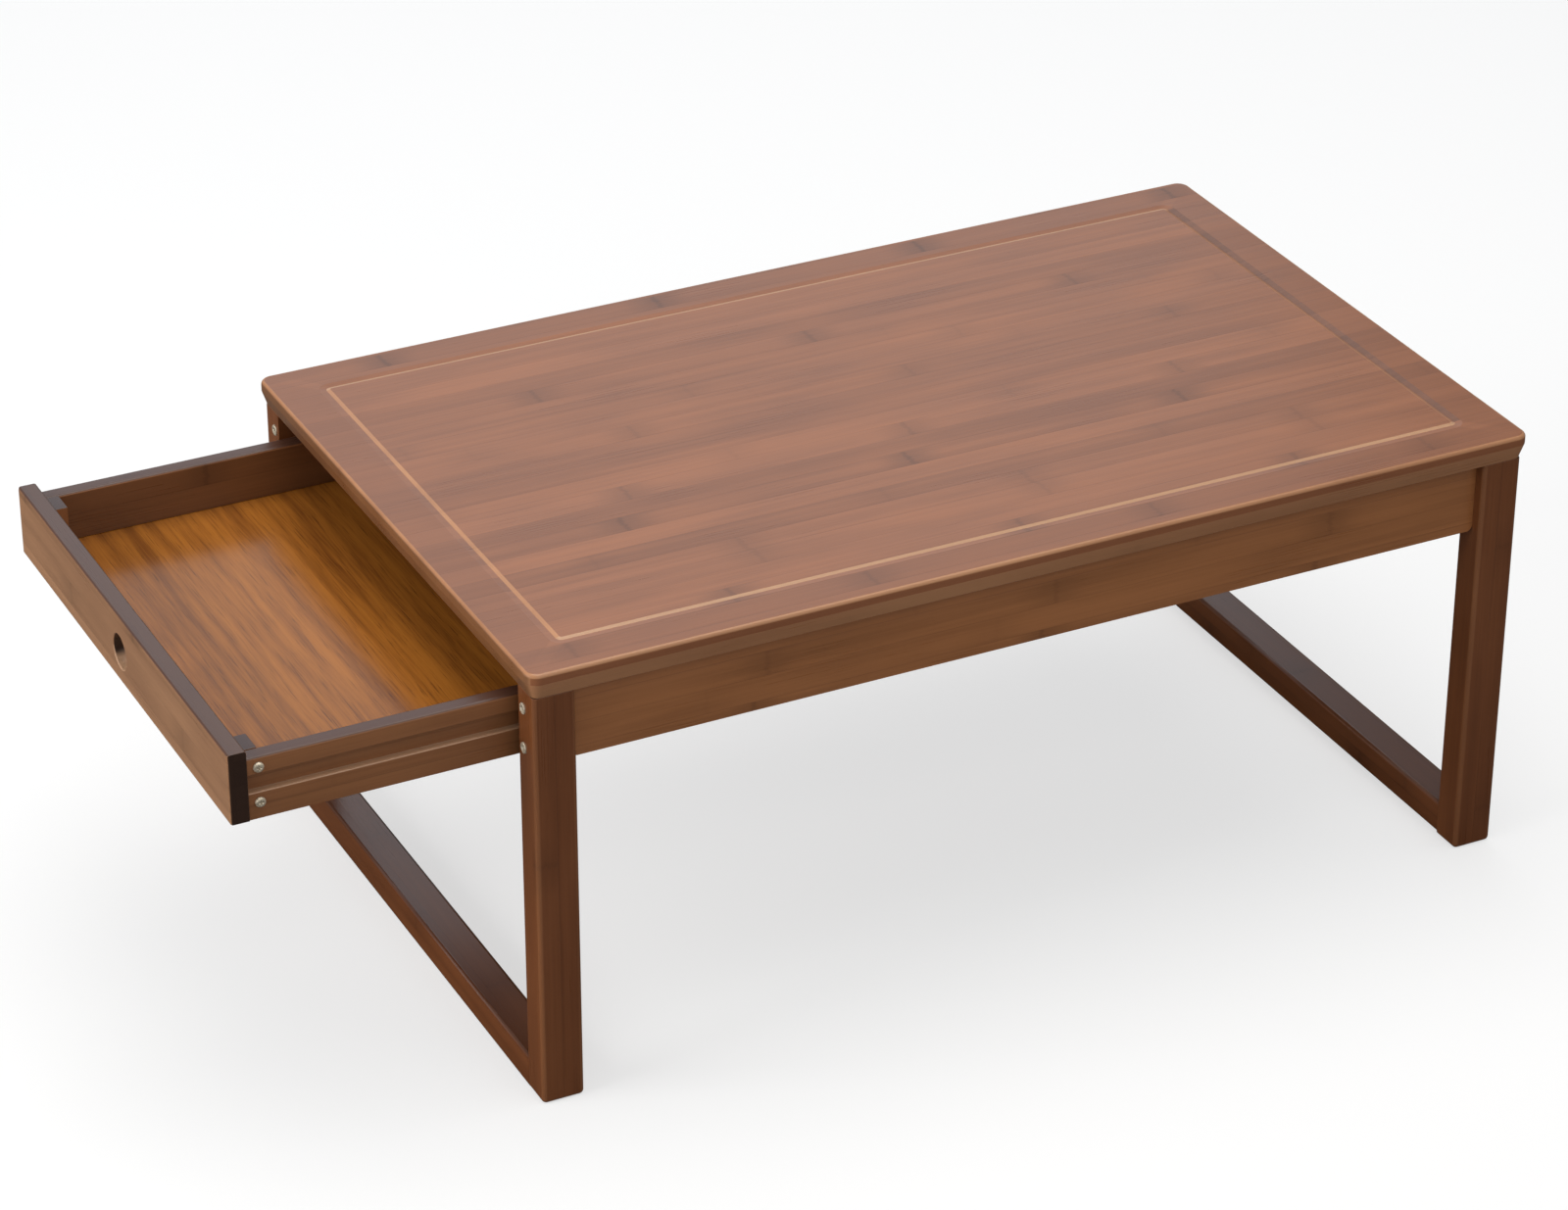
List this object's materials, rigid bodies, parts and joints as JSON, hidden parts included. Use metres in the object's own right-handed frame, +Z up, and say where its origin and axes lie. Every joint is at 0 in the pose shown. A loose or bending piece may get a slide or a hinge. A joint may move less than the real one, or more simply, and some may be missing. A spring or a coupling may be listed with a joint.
{
  "type": "low table",
  "caption": "Low rectangular wooden table with a routed line round its top, straight legs joined by foot rails, deep aprons and a shallow drawer that slides out of one end.",
  "frame": {"origin": "on the floor, midway between the face of the drawn-out drawer and the table's right edge, on the table's middle plane", "axes": "+Z up, +X along the table away from the drawer end, -Y the long side that faces the viewer"},
  "size_m": [1.002, 0.5, 0.35],
  "materials": {
    "lacquered_wood": "satin lacquer over laminated strips, brown stain",
    "drawer_wood": "satin lacquer, lighter brown stain",
    "drawer_board": "glossy lacquer, orange brown with dark streaks",
    "plain_wood": "planed, no lacquer",
    "pale_metal": "dull plated"
  },
  "bodies": {
    "table": {"tabletop": "lacquered_wood", "leg_front_left": "lacquered_wood", "leg_back_left": "lacquered_wood", "leg_front_right": "lacquered_wood", "leg_back_right": "lacquered_wood", "foot_rail_left": "lacquered_wood", "foot_rail_right": "lacquered_wood", "apron_front": "lacquered_wood", "apron_back": "lacquered_wood", "apron_right": "lacquered_wood", "apron_bolts_left": "pale_metal", "apron_bolts_right": "pale_metal", "barrel_nuts": "pale_metal", "cleat_front": "plain_wood", "cleat_back": "plain_wood", "runner_front": "plain_wood", "runner_back": "plain_wood", "stop_batten": "plain_wood", "rear_batten": "plain_wood", "top_screws": "pale_metal", "runner_screws": "pale_metal"},
    "drawer": {"drawer_front": "drawer_wood", "drawer_side_front": "drawer_wood", "drawer_side_back": "drawer_wood", "drawer_back": "drawer_wood", "drawer_bottom": "drawer_board", "drawer_corner_block_front": "drawer_wood", "drawer_corner_block_back": "drawer_wood", "drawer_screws": "pale_metal", "drawer_catch": "plain_wood", "catch_screws": "pale_metal"}
  },
  "joints": [
    {"name": "drawer_slide", "type": "slide", "parent": "table", "child": "drawer", "axis": [-1, 0, 0], "range_m": [-0.206, 0.064]}
  ]
}
